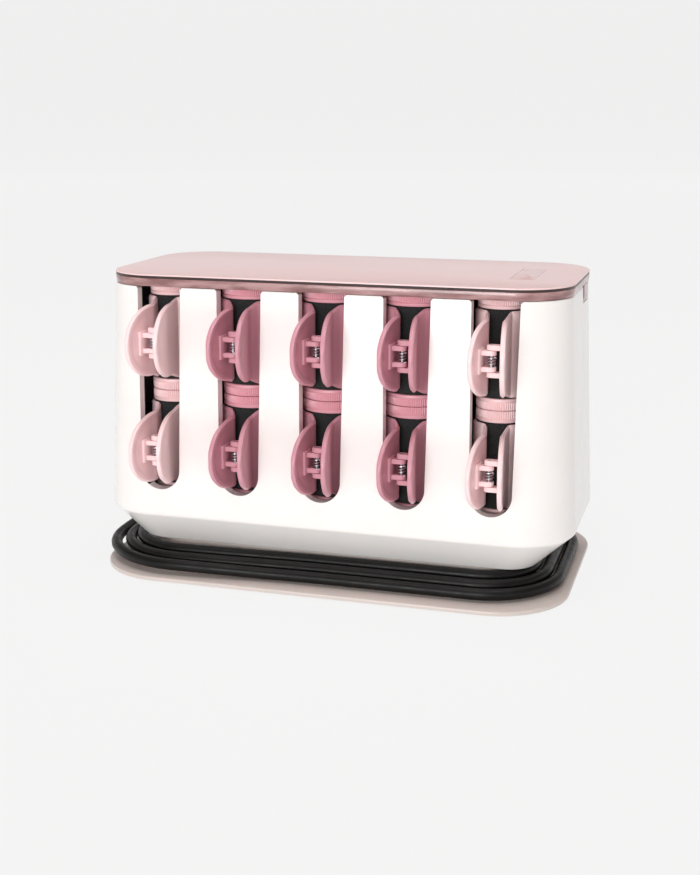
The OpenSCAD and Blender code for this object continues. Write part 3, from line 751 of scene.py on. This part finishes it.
# The locating lip is open where the slots are.
lip_y = half_y - 0.004
for side in (-1, 1):
    for x in column_x:
        cut_with(lid_rim, block_tool(
            (x - slot_top_w / 2, side * lip_y - 0.004, lip_low - 0.001),
            (x + slot_top_w / 2, side * lip_y + 0.004, lid_low_z)))
resmoothed(lid_rim, 40)
rim_tint, rim_surface = shader("rim_tint", linear(186, 140, 140), 0.2, Transmission_Weight=0.35,
                               IOR=1.49, Coat_Weight=0.3, Coat_Roughness=0.08)
tinted(rim_tint, rim_surface, noise(rim_tint, 0.012, 5.0, (1.6, 1.6, 0.35)), linear(158, 112, 111),
       linear(214, 170, 168), 0.38, 0.62)
roughened(rim_tint, rim_surface, noise(rim_tint, 0.02), 0.16, 0.26)
dressed(lid_rim, rim_tint, "lid", "lid_pink", "lid_shell")

tab_t = 0.0015
for side, end in ((-1, "left"), (1, "right")):
    half, foot = tab_w / 2 - 0.0003, top_z - tab_h
    right_edge = [(half - 0.002, foot + 0.0001), (half - 0.0006, foot + 0.0009),
                  (half, foot + 0.0022), (half, lid_low_z + 0.0006)]
    outline = np.array([(-y, z) for y, z in right_edge[::-1]] + right_edge)
    rings = []
    middle = outline.mean(0)
    for depth, shrink in ((0, 0.96), (0.0002, 1), (tab_t - 0.0004, 1), (tab_t, 0.94)):
        spot = middle + (outline - middle) * shrink
        x = np.full(len(spot), side * (half_x - 0.0009 + depth))
        rings.append(np.column_stack([x, side * tab_y + spot[:, 0], spot[:, 1]]))
    tab = lofted(f"lid_tab_{end}", rings, 30)
    dressed(tab, rim_tint, "lid", "lid_pink", "lid_shell")

seam_levels = [lid_level(seam_z, 0.0003), lid_level(seam_z + 0.0001, 0.0002),
               lid_level(seam_z + seam_t, 0.0002), lid_level(seam_z + seam_t, 0.004),
               lid_level(seam_z, 0.004)]
lid_seam = looped("lid_seam", levels_rings(seam_levels, 32), 40)
seam_brown = moulded("seam_brown", linear(52, 34, 32), 0.3, 0.2, 0.002, 0.00001)
dressed(lid_seam, seam_brown, "lid", "lid_pink", "lid_shell")

lid_pale = linear(243, 212, 211)
panel_low = seam_z + seam_t
panel_r = 0.0006
panel_levels = [(ceiling, half_x - 0.0055, half_y - 0.0055, corner_r - 0.0055),
                (panel_low, half_x - 0.0050, half_y - 0.0050, corner_r - 0.0050),
                lid_level(panel_low, 0.0001)]
for turn_angle in np.radians([0, 22.5, 45, 67.5, 90]):
    inset = 0.0001 + 1.3 * panel_r * (1 - math.cos(turn_angle))
    height = lid_top_z - panel_r + panel_r * math.sin(turn_angle)
    panel_levels.append(nudged(lid_level(panel_low, inset), 0, height))
lid_panel = lofted("lid_panel", levels_rings(panel_levels, 32), 40)
badge_low, badge_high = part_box("lid_badge")
badge_edge = 0.00015
badge_room = Vector((badge_edge, badge_edge, 0))
badge_above = Vector((badge_high.x, badge_high.y, lid_top_z + 0.001))
cut_with(lid_panel, block_tool(badge_low - badge_room, badge_above + badge_room))
resmoothed(lid_panel, 40)
lid_pink = moulded("lid_pink_top", lid_pale, 0.34, 0.012, 0.0008, 0.000006, Coat_Weight=0.25,
                   Coat_Roughness=0.12, Subsurface_Weight=0.08, Subsurface_Scale=0.002)
dressed(lid_panel, lid_pink, "lid", "lid_pink", "lid_shell")

badge_ring = []
bx, by = (badge_low.x + badge_high.x) / 2, (badge_low.y + badge_high.y) / 2
bw, bl = (badge_high.x - badge_low.x) / 2, (badge_high.y - badge_low.y) / 2
for z, inset in ((badge_low.z, 0), (badge_high.z - 0.0002, 0), (badge_high.z - 0.00006, 0.00008),
                 (badge_high.z, 0.0003)):
    ring = rounded(bw - inset, bl - inset, 0.0004, 5) + [bx, by]
    badge_ring.append(np.column_stack([ring, np.full(len(ring), z)]))
badge = lofted("lid_plate", badge_ring, 40)
badge_tone = moulded("plate_tone", linear(232, 198, 196), 0.3, 0.02, 0.0008, 0.000006, Coat_Weight=0.2)
dressed(badge, badge_tone, "lid", "badge_plastic", "lid_badge")


# ---- Rollers ----
# Each roller is a tube covered in short black flock, with a pressed-on cap at both ends: smooth
# flanges, a knurled band between them, and a recessed web round the bore that takes the post.

cap_h = 0.0065
cap_lip = 0.0014
flock_seed = np.random.default_rng(7)

flock, flock_surface = shader("black_flock", linear(26, 29, 29), 0.9, Sheen_Weight=0.35,
                              Sheen_Roughness=0.45)
tinted(flock, flock_surface, noise(flock, 0.0011, 4.0), linear(19, 22, 22), linear(36, 39, 39))
embossed(flock, flock_surface, noise(flock, 0.0005, 3.0), 0.00025)
cap_dark = moulded("cap_dark_pink", linear(222, 158, 169), 0.34, 0.03, 0.0008, 0.00001,
                   Subsurface_Weight=0.12, Subsurface_Scale=0.002)
cap_light = moulded("cap_light_pink", linear(246, 208, 209), 0.34, 0.03, 0.0008, 0.00001,
                    Subsurface_Weight=0.12, Subsurface_Scale=0.002)


def flocked(name, radius, bore, low, high, x, y):
    """The covered barrel: radius r plus a seeded unevenness of a few hundredths of a millimetre."""
    heights = np.linspace(low, high, 30)
    steps = 108
    uneven = flock_seed.normal(0, 0.00005, (30, steps))
    r = radius - 0.00012 + uneven
    r[[0, -1]] -= 0.0003
    turn = np.linspace(0, 2 * np.pi, steps, endpoint=False)
    rows = [np.full(steps, bore), *r, np.full(steps, bore)]
    levels = [low, *heights, high]
    rings = [np.column_stack([x + row * np.cos(turn), y + row * np.sin(turn), np.full(steps, z)])
             for row, z in zip(rows, levels)]
    return looped(name, rings, 50)


def capped(name, radius, bore, low, high, x, y):
    """The two end caps. A knurled row's radius is r - depth (0.5 + 0.5 cos(ribs a)), sampled four
    times a rib; the web round the bore lies below the rim."""
    ribs = 70 if radius < 0.016 else 88
    turn = np.linspace(0, 2 * np.pi, ribs * 4, endpoint=False)
    wave = 0.5 + 0.5 * np.cos(ribs * turn)
    h, r = cap_h, radius
    profile = [(bore, 0, 0), (bore, h - 0.0003, 0), (bore + 0.0003, h, 0), (bore + 0.0014, h, 0),
               (bore + 0.0017, h - 0.0003, 0), (bore + 0.0017, h - 0.0016, 0),
               (r - 0.0031, h - 0.0016, 0),
               (r - 0.0031, h - 0.0003, 0), (r - 0.0028, h, 0), (r - 0.0010, h, 0),
               (r - 0.00055, h - 0.00015, 0.3), (r - 0.0002, h - 0.0006, 1), (r - 0.0001, 0.0025, 1),
               (r - 0.0004, 0.0022, 0.4), (r - 0.0002, 0.0019, 0), (r, 0.0016, 0), (r, 0.0006, 0),
               (r - 0.00015, 0.0002, 0), (r - 0.0005, 0, 0)]
    points, quads, first = [], [], 0
    for up, foot in ((1, high - h), (-1, low + h)):
        rings = []
        for rad, rise, knurl in profile:
            row = rad - 0.0005 * knurl * wave
            rings.append(np.column_stack([x + row * np.cos(turn), y + row * np.sin(turn),
                                          np.full(len(turn), foot + up * rise)]))
        rings = np.array(rings[::up])
        face = ring_quads(len(profile), len(turn), round_rows=True) + first
        points.append(rings.reshape(-1, 3))
        quads.append(face)
        first += len(profile) * len(turn)
    return solid(name, np.concatenate(points), np.concatenate(quads), (), 28)


sizes = {}
for level in ("upper", "lower"):
    for c in range(1, 6):
        low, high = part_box(f"roller_front_{c}_{level}")
        small = c in (1, 5)
        radius = (high.x - low.x) / 2
        bore = 0.0065 if small else 0.0085
        x, y = column_x[c - 1], (low.y + high.y) / 2
        sizes[c, level] = (radius - cap_lip, x, y, low.z, high.z)
        for row, side in (("front", 1), ("back", -1)):
            node = f"roller_{row}_{c}_{level}"
            body = f"{row}_{c}_{level}"
            slot_name = "roller_small" if small else "roller_large"
            barrel = flocked(f"{node}_flock", radius - cap_lip, bore, low.z + cap_h, high.z - cap_h,
                             x, side * y)
            dressed(barrel, flock, body, slot_name, node)
            caps = capped(f"{node}_caps", radius, bore, low.z, high.z, x, side * y)
            dressed(caps, cap_light if small else cap_dark, body, slot_name, node)


# ---- Clips ----
# A claw clip sits on every roller. Each jaw is one moulding: a D-shaped finger handle with a
# raised rim, a waist, and a claw that runs round the barrel and ends in teeth. Hinge lugs meet on
# a steel pin inside a coil spring that closes the claws.

jaw_t = 0.0022
handle_t = 0.0025
pin_out_y = 0.032
waist_x, waist_y = 0.005, 0.010
tip_x, tip_y = 0.0086, -0.017
handle_half = 0.0205
claw_half = 0.0235
clip_dark = moulded("clip_dark_pink", linear(207, 147, 160), 0.36, 0.025, 0.0007, 0.000012,
                    Subsurface_Weight=0.12, Subsurface_Scale=0.002)
clip_light = moulded("clip_light_pink", linear(249, 218, 219), 0.36, 0.025, 0.0007, 0.000012,
                     Subsurface_Weight=0.12, Subsurface_Scale=0.002)
spring_steel = metal("spring_steel", linear(200, 202, 206), 0.22)


def jaw_line(barrel_r):
    """The left jaw's middle line in plan, from the handle's tip past the waist and round the
    barrel, with a share from 0 at the tip to 1 at the waist, then on to 2 at the claw's end."""
    share = np.concatenate([1 - np.cos(np.linspace(0, np.pi / 2, 17)), [1.06]])
    handle = share[:17]
    x = -tip_x + (tip_x - waist_x) * handle
    y = tip_y + (waist_y - tip_y) * handle
    r = barrel_r + 0.0003 + jaw_t / 2
    turn = np.radians(np.linspace(243, 130, 26))
    claw_x, claw_y = r * np.cos(turn), pin_out_y + r * np.sin(turn)
    t = np.linspace(0, 1, 7)[1:-1]
    bend_x = -waist_x + (claw_x[0] + waist_x) * t ** 1.6
    bend_y = waist_y + (claw_y[0] - waist_y) * t
    line = np.stack([np.concatenate([x, bend_x, claw_x]), np.concatenate([y, bend_y, claw_y])], 1)
    place = np.concatenate([handle, 1 + 0.2 * t, np.linspace(1.2, 2, len(turn))])
    return line, place


def jaw_rings(barrel_r):
    """Closed rings across the jaw, one at each point of its line: the two faces, joined by round
    edges. The handle's half height is its half width times (1 - bow^2.2)^0.5, where bow runs from
    0 at the waist to 1 at the tip, and past the waist it eases out to the claw's. On the handle
    the rim stands proud of a dished face, and the outer face has a thumb arc pressed into it."""
    line, place = jaw_line(barrel_r)
    ahead = np.gradient(line, axis=0)
    ahead /= np.linalg.norm(ahead, axis=1, keepdims=True)
    normal = np.stack([-ahead[:, 1], ahead[:, 0]], 1)
    length = math.hypot(tip_x - waist_x, waist_y - tip_y)
    from_tip = np.clip(place, 0, 1) * length
    bow = 1 - from_tip / length
    half = handle_half * (1 - bow ** 2.2) ** 0.5
    half = np.maximum(half, 0.0012) + (claw_half - handle_half) * ease((place - 1) / 0.25)
    half = half - 0.004 * ease((place - 1.9) / 0.1)
    across = np.linspace(-1, 1, 27)
    across = np.sin(across * np.pi / 2) * 0.35 + across * 0.65
    thick = handle_t + (jaw_t - handle_t) * ease((place - 0.95) / 0.15)
    rings = []
    for face in (1, -1):
        z = half[:, None] * across[None]
        edge = (1 - abs(across[None])) * half[:, None]
        rounding = np.sqrt(np.clip(1 - np.clip(1 - edge / 0.0009, 0, 1) ** 2, 0.05, 1))
        rho = (bow[:, None] ** 2.2 + (z / handle_half) ** 2) ** 0.48
        on_handle = (place[:, None] <= 1) * 1.0
        fade = ease((1.0 - place[:, None]) / 0.10)
        inner = 1 - ease((rho - 0.82) / 0.05)
        dish = 0.0006 * inner * fade
        tip_round = np.sqrt(np.clip(1 - np.clip(1 - from_tip[:, None] / 0.0012, 0, 1) ** 2, 0.1, 1))
        end_round = np.sqrt(np.clip(1 - np.clip((place[:, None] - 1.975) / 0.03, 0, 1) ** 2, 0.15, 1))
        depth = thick[:, None] / 2 * rounding * tip_round * end_round
        if face == 1:
            arc = np.hypot(from_tip[:, None] - 0.0165, z / 1.15)
            press = 0.00035 * np.exp(-((arc - 0.0088) / 0.0007) ** 2) * (from_tip[:, None] < 0.0165)
            depth = depth - (0.35 * dish + press * fade) * on_handle
        else:
            depth = depth - dish * on_handle
        at = line[:, None, :] + face * depth[..., None] * normal[:, None, :]
        ring = np.concatenate([at, z[..., None]], -1)
        rings.append(ring if face == 1 else ring[:, ::-1])
    return np.concatenate(rings, 1)


def tooth_rings(barrel_r, z, width):
    """One tooth past the claw's end: a short tapering stretch of the same arc."""
    turn = np.radians(np.array([134, 130, 126.5, 124.2, 123.0]))
    shrink = np.array([1, 1, 0.9, 0.7, 0.35])
    r = barrel_r + 0.0003 + jaw_t / 2
    middle = np.stack([r * np.cos(turn), pin_out_y + r * np.sin(turn)], 1)
    out = np.stack([np.cos(turn), np.sin(turn)], 1)
    loop = np.linspace(0, 2 * np.pi, 12, endpoint=False)
    a = np.sign(np.cos(loop)) * abs(np.cos(loop)) ** 0.6
    b = np.sign(np.sin(loop)) * abs(np.sin(loop)) ** 0.6
    flat = middle[:, None] + jaw_t / 2 * 0.96 * shrink[:, None, None] * a[None, :, None] * out[:, None]
    height = z + width / 2 * shrink[:, None] * b[None]
    return np.concatenate([flat, height[..., None]], -1)


def lug_rings(z0, z1, hole, reach_x, half_w):
    """A hinge lug: an eye round the pin that runs out to the jaw. The outline is half a circle at
    the pin and a widening bar; the inner loop is the pin's hole."""
    turn = np.linspace(0, 2 * np.pi, 40, endpoint=False)
    eye = 0.0026
    x, y = eye * np.cos(turn), eye * np.sin(turn)
    back = np.cos(turn) < 0
    stretch = np.where(back, -np.cos(turn), 0)
    x = np.where(back, -reach_x * np.minimum(1, stretch * 1.25), x)
    y = np.where(back, np.sign(y) * (abs(y) * (1 - stretch) + stretch * half_w) , y)
    outer = np.stack([x, y], 1)
    inner = hole * np.stack([np.cos(turn), np.sin(turn)], 1)
    soft = 0.0003
    shrunk = outer * (1 - soft / eye)
    rows = [(inner, z0), (shrunk, z0), (outer, z0 + soft),
            (outer, z1 - soft), (shrunk, z1), (inner, z1)]
    return np.array([np.column_stack([loop, np.full(40, z)]) for loop, z in rows])


def jaw_parts(barrel_r, right):
    """All closed shells of a jaw in its own frame: points, quads and end faces, numbered on."""
    shells = [("loft", jaw_rings(barrel_r))]
    for z in np.linspace(-0.0172, 0.0172, 7):
        shells.append(("loft", tooth_rings(barrel_r, z, 0.0038)))
    starts = (0.0059, -0.0086) if right else (0.0030, -0.0057)
    for z in starts:
        shells.append(("loop", lug_rings(z, z + 0.0027, 0.00102 if right else 0.0011, 0.0062, 0.0030)))
    bracket = 0.0092 if right else 0.0068
    box = rounded(0.0010, 0.0045, 0.0004, 4)
    box = box + np.column_stack([box[:, 1] * (tip_x - waist_x) / (waist_y - tip_y), 0 * box[:, 1]])
    rows = [(0.9, -bracket), (1, -bracket + 0.0003), (1, bracket - 0.0003), (0.9, bracket)]
    pad = [np.column_stack([box * s + [-0.0056, -0.0006], np.full(len(box), z)]) for s, z in rows]
    shells.append(("loft", np.array(pad)))
    points, quads, ends, first = [], [], [], 0
    for kind, rings in shells:
        rows, columns = rings.shape[:2]
        if right:
            rings = rings * [-1, 1, 1]
        flat = rings.reshape(-1, 3)
        face = ring_quads(rows, columns, kind == "loop")
        caps = [np.arange(columns)[::-1], np.arange(columns) + (rows - 1) * columns]
        caps = caps if kind == "loft" else []
        fans = [np.stack([np.full(columns - 2, e[0]), e[1:-1], e[2:]], 1) for e in caps]
        a, b, d = flat[np.concatenate([face[:, :3], face[:, [0, 2, 3]], *fans])].transpose(1, 0, 2)
        turn = -1 if np.einsum("ij,ij->", a - flat[0], np.cross(b - flat[0], d - flat[0])) < 0 else 1
        points.append(flat)
        quads.append(face[:, ::turn] + first)
        ends += [e[::turn] + first for e in caps]
        first += len(flat)
    return np.concatenate(points), np.concatenate(quads), ends


def coil_line():
    """The spring: a helix of three and a quarter turns round the pin, with a leg at each end."""
    turn = np.linspace(0, 3.25 * 2 * np.pi, 4 * 24)
    r = 0.00198
    rise = np.linspace(-0.0025, 0.0025, len(turn))
    line = np.column_stack([r * np.cos(turn), r * np.sin(turn), rise])
    leg = line[-1] + np.array([[0.0012, -0.0022, 0], [0.0030, -0.0062, 0]])
    foot = line[0] + np.array([[0.0006, -0.0045, 0], [0.0, -0.0022, 0]])
    return np.concatenate([foot, line, leg])


def placed(points, x, y, z, side):
    """Clip points moved to their roller; on the back row they are turned half way round."""
    return points * [side, side, 1] + [x, side * y, z]


pin_half, pin_r, pin_sides, wire_sides = 0.0086, 0.001, 16, 8
pin_profile = [(0.00001, -pin_half), (0.0008, -pin_half), (pin_r, -pin_half + 0.0002),
               (pin_r, pin_half - 0.0002), (0.0008, pin_half), (0.00001, pin_half)]
pin_turn = np.linspace(0, 2 * np.pi, pin_sides, endpoint=False)
pin_rings = np.array([np.column_stack([r * np.cos(pin_turn), r * np.sin(pin_turn),
                                       np.full(pin_sides, h)]) for r, h in pin_profile])
spring_rings = tube_rings(coil_line(), 0.00042, wire_sides)
hinge_points = np.concatenate([pin_rings.reshape(-1, 3), spring_rings.reshape(-1, 3)])
spring_first = pin_rings.shape[0] * pin_sides
hinge_quads = np.concatenate([ring_quads(*pin_rings.shape[:2]),
                              ring_quads(*spring_rings.shape[:2]) + spring_first])
pin_end, wire_end = np.arange(pin_sides), np.arange(wire_sides) + spring_first
hinge_ends = [pin_end[::-1], pin_end + spring_first - pin_sides,
              wire_end[::-1], wire_end + wire_sides * (len(spring_rings) - 1)]
shapes = {}
for (c, level), (barrel_r, x, y, low_z, high_z) in sizes.items():
    small = c in (1, 5)
    tone = clip_light if small else clip_dark
    slot_name = "clip_light_pink" if small else "clip_dark_pink"
    mid = (low_z + high_z) / 2
    for right in (False, True):
        if (small, right) not in shapes:
            shapes[small, right] = jaw_parts(barrel_r, right)
    for row, side in (("front", 1), ("back", -1)):
        pin_y = y - pin_out_y
        for right in (False, True):
            points, quads, ends = shapes[small, right]
            hand = "right" if right else "left"
            piece = solid(f"clip_{row}_{c}_{level}_{hand}", placed(points, x, pin_y, mid, side),
                          quads, ends, 32)
            if row == "front":
                dressed(piece, tone, f"front_{c}_{level}_jaw_{hand}", slot_name,
                        f"jaw_{hand}_front_{c}_{level}")
            else:
                dressed(piece, tone, f"back_{c}_{level}", slot_name, f"roller_back_{c}_{level}")
        holder = f"front_{c}_{level}_jaw_right" if row == "front" else f"back_{c}_{level}"
        stands = f"jaw_right_front_{c}_{level}" if row == "front" else f"roller_back_{c}_{level}"
        hinge = solid(f"clip_{row}_{c}_{level}_pin_and_spring",
                      placed(hinge_points, x, pin_y, mid, side), hinge_quads, hinge_ends, 40)
        dressed(hinge, spring_steel, holder, "steel", stands)


# ---- Floor and light ----
# A pale sweep that rises all round, a large soft light in front, one above and the sky's fill.

sweep = shader("sweep_paper", linear(70, 70, 70), 0.95, Emission_Color=(1, 1, 1, 1),
               Emission_Strength=0.83)[0]
flat_r, rise_r, bowl_sides = 4.0, 1.5, 96
bend = np.linspace(0.15, np.pi / 2, 10)
span = np.concatenate([[0.001], np.linspace(0.3, flat_r, 12), flat_r + rise_r * np.sin(bend)])
rise = np.concatenate([np.zeros(13), rise_r * (1 - np.cos(bend))])
turn = np.linspace(0, 2 * np.pi, bowl_sides, endpoint=False)
bowl = np.stack([span[:, None] * np.cos(turn), span[:, None] * np.sin(turn),
                 np.broadcast_to(rise[:, None], (len(span), bowl_sides))], -1)
bowl_mesh = bpy.data.meshes.new("floor")
bowl_faces = ring_quads(len(span), bowl_sides).tolist() + [list(range(bowl_sides - 1, -1, -1))]
bowl_mesh.from_pydata(bowl.reshape(-1, 3).tolist(), [], bowl_faces)
bowl_mesh.shade_smooth()
floor = bpy.data.objects.new("floor", bowl_mesh)
scene.collection.objects.link(floor)
floor.data.materials.append(sweep)

world = bpy.data.worlds.new("sky")
world.use_nodes = True
world.node_tree.nodes["Background"].inputs["Color"].default_value = (1, 0.83, 0.80, 1)
world.node_tree.nodes["Background"].inputs["Strength"].default_value = 0.27
scene.world = world


def softbox(name, place, size, watts):
    """A square area light that faces the middle of the set."""
    lamp = bpy.data.lights.new(name, "AREA")
    lamp.size = size
    lamp.energy = watts
    light = bpy.data.objects.new(name, lamp)
    light.location = place
    light.rotation_euler = (camera_target - Vector(place)).to_track_quat("-Z", "Y").to_euler()
    scene.collection.objects.link(light)


softbox("front_softbox", (0.2, -1.9, 0.8), 1.2, 8)
softbox("top_softbox", (0.0, -0.1, 1.7), 1.4, 17)
softbox("low_softbox", (-0.1, -1.4, 0.1), 0.6, 8.5)
scene.view_settings.view_transform = "Standard"
